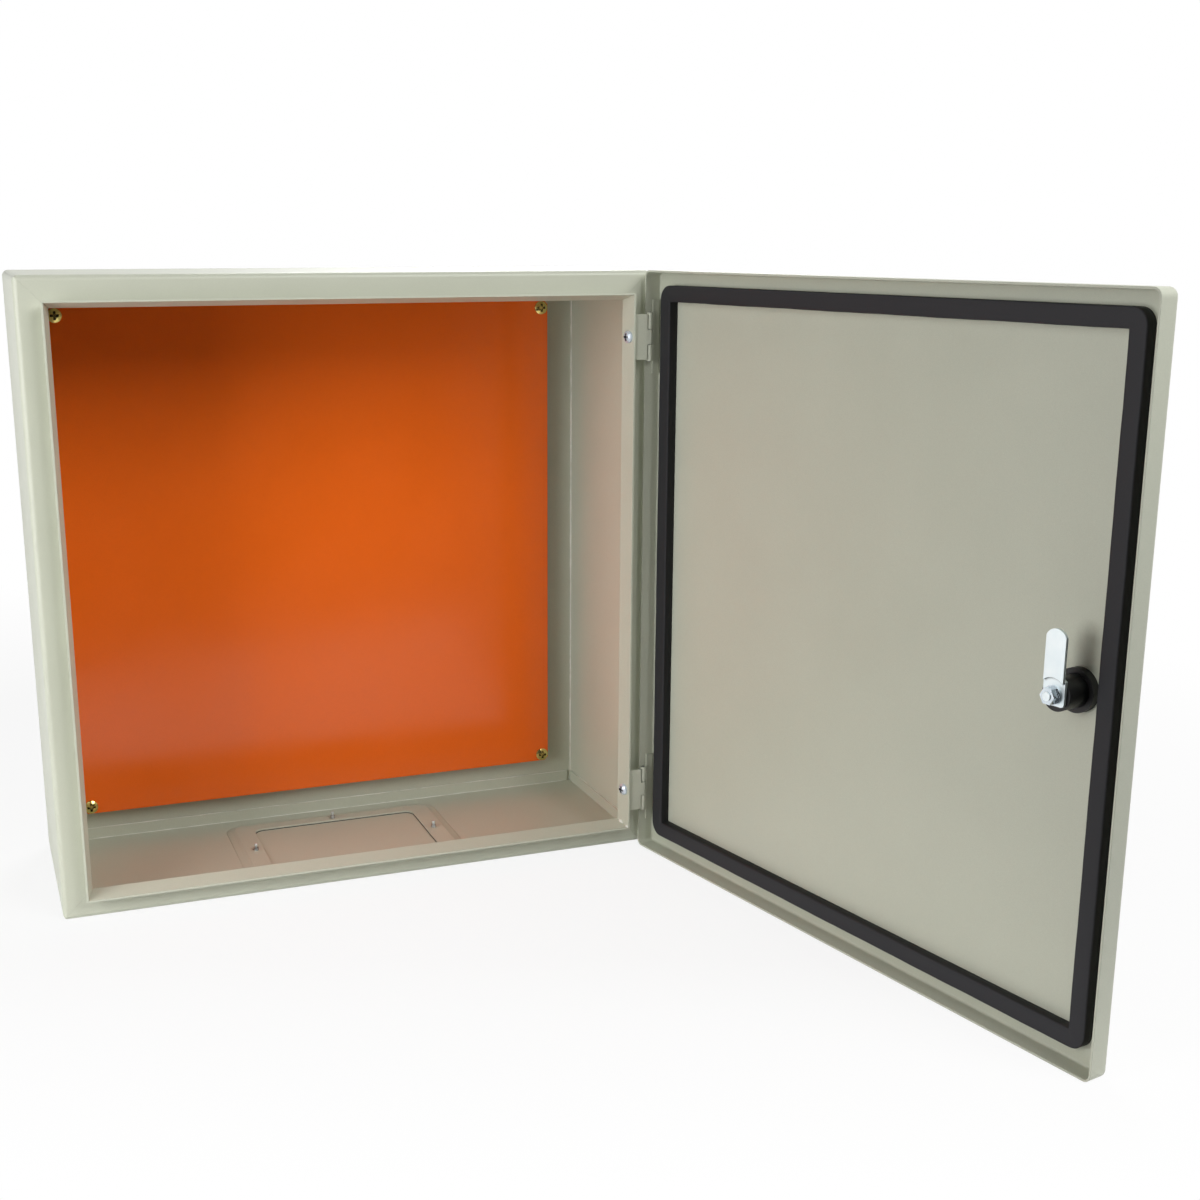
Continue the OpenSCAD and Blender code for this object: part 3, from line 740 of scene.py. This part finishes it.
@dataclass
class PaintBeads:
    """Uneven beads where the seams of the folded body took more paint; their pale colour paints the highlight
    along the folds, and light over the dark gaps at the rims. Sizes in mm.
    """

    half: float = 250.0
    inner: float = 247.0
    back: float = -3.0
    floor: float = -248.5
    front: float = -174.5
    edge: float = 11.5
    sheet: float = 1.5
    end_gap: float = 3.0
    radius: float = 0.55
    step: float = 4.0
    sides: int = 8
    # Size of each kind of bead, and how far its middle lies behind the surface
    fold_size: float = 1.0
    fold_sunk: float = -0.1
    rim_size: float = 0.8
    rim_sunk: float = 0.3
    upright_size: float = 1.9
    upright_sunk: float = 1.0
    side_size: float = 0.6
    side_sunk: float = 1.2
    # How a bead swells and wanders along its run
    usual: float = 0.75
    least: float = 0.25
    memory: float = 0.6
    swell: float = 0.22
    wander: float = 0.12
    # Depth and radius of each weld drop, and the lean of the lip that carries them
    drop_sizes: tuple[tuple[float, float], ...] = (
        (2.6, 1.4),
        (4.2, 1.8),
        (5.8, 1.1),
        (11.6, 1.3),
        (12.8, 1.0),
    )
    lip_inset: float = 23.8
    lip_lean: float = 4.3
    lip_depth: float = 15.3

    def runs(self) -> list[tuple[Vector, Vector, float]]:
        """Lists the beads.

        Returns:
            Both ends in millimetres, and a size factor.
        """
        found = []
        reach = self.inner - self.end_gap
        for sign in (-1, 1):
            fold = -sign * self.floor
            rim = sign * (-self.floor - self.edge + self.sheet)
            y = self.back + self.fold_sunk
            found.append((Vector((-reach, y, fold)), Vector((reach, y, fold)), self.fold_size))
            y = self.back + self.rim_sunk
            found.append((Vector((-reach, y, rim)), Vector((reach, y, rim)), self.rim_size))
            x, y = sign * (self.inner + self.upright_sunk), self.back + self.upright_sunk
            found.append((Vector((x, y, -abs(rim))), Vector((x, y, abs(rim))), self.upright_size))
            for x in (-self.inner - self.side_sunk, self.inner + self.side_sunk):
                start = Vector((x, self.back - self.end_gap, rim))
                found.append((start, Vector((x, self.front, rim)), self.side_size))
        return found

    def drops(self) -> list[tuple[Vector, float]]:
        """Lists the weld drops on the mitre of the sealing lip.

        Returns:
            Middles and radii in millimetres.
        """
        found = []
        for depth, radius in self.drop_sizes:
            inset = self.lip_inset - self.lip_lean * (depth + self.sheet) / self.lip_depth
            middle = Vector((self.half - inset, self.front - self.sheet - depth, inset - self.half))
            found.append((middle, radius))
        return found

    def lay(
        self,
        mesh: bmesh.types.BMesh,
        dice: random.Random,
        start: Vector,
        end: Vector,
        size: float,
    ) -> None:
        """Lays one bead.

        Args:
            mesh: Mesh to add to.
            dice: Source of its unevenness.
            start: One end in millimetres.
            end: The other end in millimetres.
            size: Factor for its radius.
        """
        way = (end - start).normalized()
        side = Vector((1, 0, 0)) if abs(way.y) > 0.5 else Vector((0, 1, 0))
        up = side.cross(way)
        count = int((end - start).length / self.step)
        rings = []
        swell = 0.0
        for i in range(count + 1):
            swell = self.memory * swell + dice.uniform(-self.swell, self.swell)
            r = self.radius * size * max(self.least, self.usual + swell)
            centre = start.lerp(end, i / count) + up * dice.uniform(-self.wander, self.wander)
            turns = [2 * math.pi * k / self.sides for k in range(self.sides)]
            ring = [centre + side * r * math.cos(a) + up * r * math.sin(a) for a in turns]
            rings.append([mesh.verts.new(point * MM) for point in ring])
        skin(mesh, rings, closed=False)

    def build(self, highlight_paint: bpy.types.Material) -> list[bpy.types.Object]:
        """Lays the beads and sets the weld drops, all in the pale paint of the painted highlight.

        Args:
            highlight_paint: The pale material of the beads and drops, a painted highlight.

        Returns:
            The beads and drops as one object.
        """
        mesh = bmesh.new()
        dice = random.Random(SEED)
        # Beads and drops share the pale paint, which is a painted highlight
        for start, end, size in self.runs():
            self.lay(mesh, dice, start, end, size)
        for middle, radius in self.drops():
            place = Matrix.Translation(middle * MM)
            bmesh.ops.create_icosphere(mesh, subdivisions=2, radius=radius * MM, matrix=place)
        return [piece("seam_highlight_beads", mesh, highlight_paint, Body.CABINET)]


@dataclass
class GlandOpening:
    """Slope round the pressed land of the floor, and a dark rubber edge in its opening, partly the seal and
    partly painted shadow of the gap round the cut. Sizes in mm.
    """

    # Half width, half depth and corner radius
    land: tuple[float, float, float] = (90.0, 62.0, 8.0)
    cut: tuple[float, float, float] = (74.0, 50.0, 9.0)
    middle_y: float = -88.0
    floor: float = -248.5
    rise: float = 2.5
    run: float = 8.0
    knee_run: float = 0.4
    knee_rise: float = 0.5
    tucked: float = 0.1
    sunk: float = 0.05
    seal_in: float = 0.4
    seal_out: float = 0.3
    seal_low: float = 0.45
    seal_high: float = 0.95
    turns: int = 6

    def outline(self, shape: tuple[float, float, float], grow: float, z: float) -> list[Vector]:
        """Walks round a rounded rectangle.

        Args:
            shape: Half width, half depth and corner radius in millimetres.
            grow: Distance outside its edge in millimetres.
            z: Height above the floor in millimetres.

        Returns:
            Points in millimetres.
        """
        half_w, half_d, radius = shape
        found = []
        for quarter, (sx, sy) in enumerate(((1, 1), (-1, 1), (-1, -1), (1, -1))):
            middle_y = self.middle_y + sy * (half_d - radius)
            corner = Vector((sx * (half_w - radius), middle_y, self.floor + z))
            for i in range(self.turns + 1):
                a = math.pi / 2 * (quarter + i / self.turns)
                found.append(corner + Vector((math.cos(a), math.sin(a), 0)) * (radius + grow))
        return found

    def loop(
        self,
        name: str,
        lines: list[list[Vector]],
        material: bpy.types.Material,
    ) -> bpy.types.Object:
        """Joins outlines into a closed loop with flat faces.

        Args:
            name: Name of the piece.
            lines: Outlines with the same number of points.
            material: Its material.

        Returns:
            The loop.
        """
        mesh = bmesh.new()
        rings = [[mesh.verts.new(spot * MM) for spot in ring] for ring in zip(*lines)]
        skin(mesh, rings, closed=True)
        obj = piece(name, mesh, material, Body.CABINET)
        obj.data.shade_flat()
        return obj

    def build(self, paint: bpy.types.Material, rubber: bpy.types.Material) -> list[bpy.types.Object]:
        """Makes the slope and the dark seal edge, which also paints the shadow of the gap.

        Args:
            paint: The slope's material.
            rubber: The seal's material.

        Returns:
            The slope and the seal's edge.
        """
        slope = [
            self.outline(self.land, -self.tucked, self.rise - self.sunk),
            self.outline(self.land, self.run * self.knee_run, self.rise * self.knee_rise),
            self.outline(self.land, self.run, -self.sunk),
            self.outline(self.land, -self.tucked, -self.sunk),
        ]
        # Painted shadow: a dark rubber band round the cut, partly the seal's edge and partly the shade in the
        # gap
        edge = [
            self.outline(self.cut, self.seal_out, self.seal_low),
            self.outline(self.cut, self.seal_out, self.seal_high),
            self.outline(self.cut, -self.seal_in, self.seal_high),
            self.outline(self.cut, -self.seal_in, self.seal_low),
        ]
        return [
            self.loop("land_slope", slope, paint),
            self.loop("gland_seal_and_shade_edge", edge, rubber),
        ]


@dataclass(frozen=True)
class Lamp:
    """A soft square lamp: angles in degrees, power in watts, size and distance in metres."""

    name: str
    azimuth: float
    elevation: float
    power: float
    size: float = 1.0
    distance: float = 2.0

    def place(self) -> Vector:
        """Gives the lamp's place; azimuth 0 is straight in front, negative to the left.

        Returns:
            A point in metres.
        """
        a, e = math.radians(self.azimuth), math.radians(self.elevation)
        way = Vector((math.sin(a) * math.cos(e), -math.cos(a) * math.cos(e), math.sin(e)))
        return way * self.distance

    def build(self, aim: Vector) -> None:
        """Hangs the lamp.

        Args:
            aim: Point that it faces.
        """
        data = bpy.data.lights.new(self.name, "AREA")
        data.size = self.size
        data.energy = self.power
        obj = bpy.data.objects.new(self.name, data)
        turn = (aim - self.place()).to_track_quat("-Z", "Y").to_matrix().to_4x4()
        obj.matrix_world = Matrix.Translation(self.place()) @ turn
        bpy.context.scene.collection.objects.link(obj)


def rays(tree: bpy.types.NodeTree) -> tuple[Socket, Socket]:
    """Tells apart the rays that should see the white background.

    Args:
        tree: Tree to add to.

    Returns:
        1 for a camera ray, and 1 for a ray from a gloss or through a clear piece; otherwise 0.
    """
    path = add_node(tree, "ShaderNodeLightPath")
    mirrored = add_node(
        tree,
        "ShaderNodeMath",
        {"operation": "MAXIMUM"},
        {0: path.outputs["Is Glossy Ray"], 1: path.outputs["Is Transmission Ray"]},
    )
    return path.outputs["Is Camera Ray"], mirrored.outputs[0]


@dataclass
class Studio:
    """Pale table, soft lights and the camera at the photograph's view. Sizes in metres."""

    yaw: float = 20.73
    pitch: float = -14.33
    roll: float = 0.04
    spot: Vector = field(default_factory=lambda: Vector((-0.30015, -1.41819, 0.27883)))
    lens: float = 48.156
    sensor: float = 36.0
    shift: tuple[float, float] = (41.08 / 1200, 43.76 / 1200)
    aim: Vector = field(default_factory=lambda: Vector((0.1, -0.2, 0.0)))
    lamps: tuple[Lamp, ...] = (
        Lamp("left softbox", -57, 6, 6.6, size=0.65, distance=1.15),
        Lamp("upper left softbox", -50, 28, 5.0, size=0.9, distance=1.6),
        Lamp("right softbox", 26, 33, 20.0),
        Lamp("rear softbox", 150, 44, 26.0),
    )
    sky: float = 0.03
    table_z: float = -0.25
    table_front: float = -0.62
    table_back: float = 3.0
    table_side: float = 2.5
    table_light: float = 0.86
    # Share of plain white that the camera sees near the object; it rises to 1 away from the object, over
    # the distances in fade, and toward the table's front, over the rim
    near_white: float = 0.85
    fade: tuple[float, float] = (0.6, 1.2)
    rim: float = 0.3
    # Where the white room begins for what mirrors it, as a share of the way ahead
    room: tuple[float, float] = (-0.2, 0.2)

    def ahead(self) -> Vector:
        """Gives the level direction in which the camera looks.

        Returns:
            A unit vector.
        """
        yaw = math.radians(self.yaw)
        return Vector((math.sin(yaw), math.cos(yaw), 0))

    def camera(self) -> None:
        """Sets the camera to the photograph's place, lens and offset."""
        pitch = math.radians(self.pitch)
        look = self.ahead() * math.cos(pitch) + Vector((0, 0, math.sin(pitch)))
        right = look.cross(Vector((0, 0, 1))).normalized()
        up = right.cross(look)
        turned = Matrix((right, up, -look)).transposed() @ Matrix.Rotation(math.radians(self.roll), 3, "Z")
        data = bpy.data.cameras.new("camera")
        data.lens = self.lens
        data.sensor_width = self.sensor
        data.shift_x, data.shift_y = self.shift
        obj = bpy.data.objects.new("camera", data)
        obj.matrix_world = Matrix.Translation(self.spot) @ turned.to_4x4()
        bpy.context.scene.collection.objects.link(obj)
        bpy.context.scene.camera = obj

    def whiteness(self, tree: bpy.types.NodeTree) -> Socket:
        """Works out how much plain white each place on the table shows to the camera.

        Args:
            tree: Tree to add to.

        Returns:
            A share from near_white to 1.
        """
        place = add_node(tree, "ShaderNodeTexCoord").outputs["Object"]
        away = add_node(tree, "ShaderNodeVectorMath", {"operation": "LENGTH"}, {0: place}).outputs["Value"]
        near, far = self.fade
        limits = {"From Min": near, "From Max": far, "To Min": self.near_white, "To Max": 1.0}
        outer = add_node(tree, "ShaderNodeMapRange", limits, {"Value": away}).outputs[0]
        along = {"operation": "DOT_PRODUCT", 1: self.ahead()}
        depth = add_node(tree, "ShaderNodeVectorMath", along, {0: place}).outputs["Value"]
        front, inside = self.table_front, self.table_front + self.rim
        limits = {"From Min": front, "From Max": inside, "To Min": 1.0, "To Max": self.near_white}
        rim = add_node(tree, "ShaderNodeMapRange", limits, {"Value": depth}).outputs[0]
        return add_node(tree, "ShaderNodeMath", {"operation": "MAXIMUM"}, {0: outer, 1: rim}).outputs[0]

    def table_material(self) -> bpy.types.Material:
        """Makes the pale table, which the camera and glossy pieces see as white with a soft shadow.

        Returns:
            The table's material.
        """
        material = bpy.data.materials.new("pale table")
        material.use_nodes = True
        tree = material.node_tree
        tree.nodes.clear()
        camera, mirrored = rays(tree)
        multiply = {"operation": "MULTIPLY"}
        direct = add_node(tree, "ShaderNodeMath", multiply, {0: camera, 1: self.whiteness(tree)})
        seen = add_node(
            tree,
            "ShaderNodeMath",
            {"operation": "MULTIPLY_ADD", 1: self.near_white},
            {0: mirrored, 2: direct.outputs[0]},
        )
        matt = add_node(tree, "ShaderNodeBsdfDiffuse", {"Color": scaled(WHITE, self.table_light)})
        glow = add_node(tree, "ShaderNodeEmission", {"Color": WHITE, "Strength": 1.0})
        both = {0: seen.outputs[0], 1: matt.outputs[0], 2: glow.outputs[0]}
        shader = add_node(tree, "ShaderNodeMixShader", links=both)
        add_node(tree, "ShaderNodeOutputMaterial", links={"Surface": shader.outputs[0]})
        return material

    def floor(self) -> None:
        """Lays the table square to the camera's view."""
        ahead = self.ahead()
        side = Vector((ahead.y, -ahead.x, 0))
        front, back, reach = self.table_front, self.table_back, self.table_side
        mesh = bmesh.new()
        corners = []
        for along, across in ((front, -reach), (front, reach), (back, reach), (back, -reach)):
            corners.append(mesh.verts.new(ahead * along + side * across + Vector((0, 0, self.table_z))))
        mesh.faces.new(corners)
        data = bpy.data.meshes.new("floor")
        mesh.to_mesh(data)
        mesh.free()
        data.materials.append(self.table_material())
        obj = bpy.data.objects.new("floor", data)
        bpy.context.scene.collection.objects.link(obj)

    def world(self) -> None:
        """Makes the room white to the camera and to what mirrors its far side, and dim otherwise."""
        world = bpy.data.worlds.new("room")
        world.use_nodes = True
        bpy.context.scene.world = world
        tree = world.node_tree
        tree.nodes.clear()
        camera, mirrored = rays(tree)
        way = add_node(tree, "ShaderNodeTexCoord").outputs["Generated"]
        along = {"operation": "DOT_PRODUCT", 1: self.ahead()}
        rear = add_node(tree, "ShaderNodeVectorMath", along, {0: way}).outputs["Value"]
        limits = {"From Min": self.room[0], "From Max": self.room[1]}
        backdrop = add_node(tree, "ShaderNodeMapRange", limits, {"Value": rear})
        multiply = {"operation": "MULTIPLY"}
        shown = add_node(tree, "ShaderNodeMath", multiply, {0: mirrored, 1: backdrop.outputs[0]})
        seen = add_node(tree, "ShaderNodeMath", {"operation": "MAXIMUM"}, {0: camera, 1: shown.outputs[0]})
        brighter = {"operation": "MAXIMUM", 1: self.sky}
        strength = add_node(tree, "ShaderNodeMath", brighter, {0: seen.outputs[0]})
        glow = add_node(tree, "ShaderNodeBackground", {"Color": WHITE}, {"Strength": strength.outputs[0]})
        add_node(tree, "ShaderNodeOutputWorld", links={"Surface": glow.outputs[0]})

    def build(self) -> None:
        """Sets up everything round the object."""
        bpy.context.scene.view_settings.view_transform = "Standard"
        self.floor()
        self.world()
        for lamp in self.lamps:
            lamp.build(self.aim)
        self.camera()


def main() -> None:
    """Builds the looks in order: finishes, added pieces, studio."""
    logging.basicConfig(level=logging.INFO, format="%(name)s: %(message)s")
    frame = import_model()
    materials = {slot: finish.material() for slot, finish in FINISHES.items()}
    dress(frame, materials)
    for name in frame["nodes"]:
        LOG.info("%s dressed", name)
    added = Gasket().build(DoorSpace.of(frame), materials["gasket_foam"])
    added += ScrewThreads().build(THREAD_STEEL.material(), materials["bright_zinc"])
    added += PaintBeads().build(SEAM_HIGHLIGHT_PAINT.material())
    added += GlandOpening().build(materials["body_paint"], materials["seal_rubber"])
    for obj in added:
        LOG.info("%s built with %d faces", obj.name, len(obj.data.polygons))
    Studio().build()


if __name__ == "__main__":
    main()
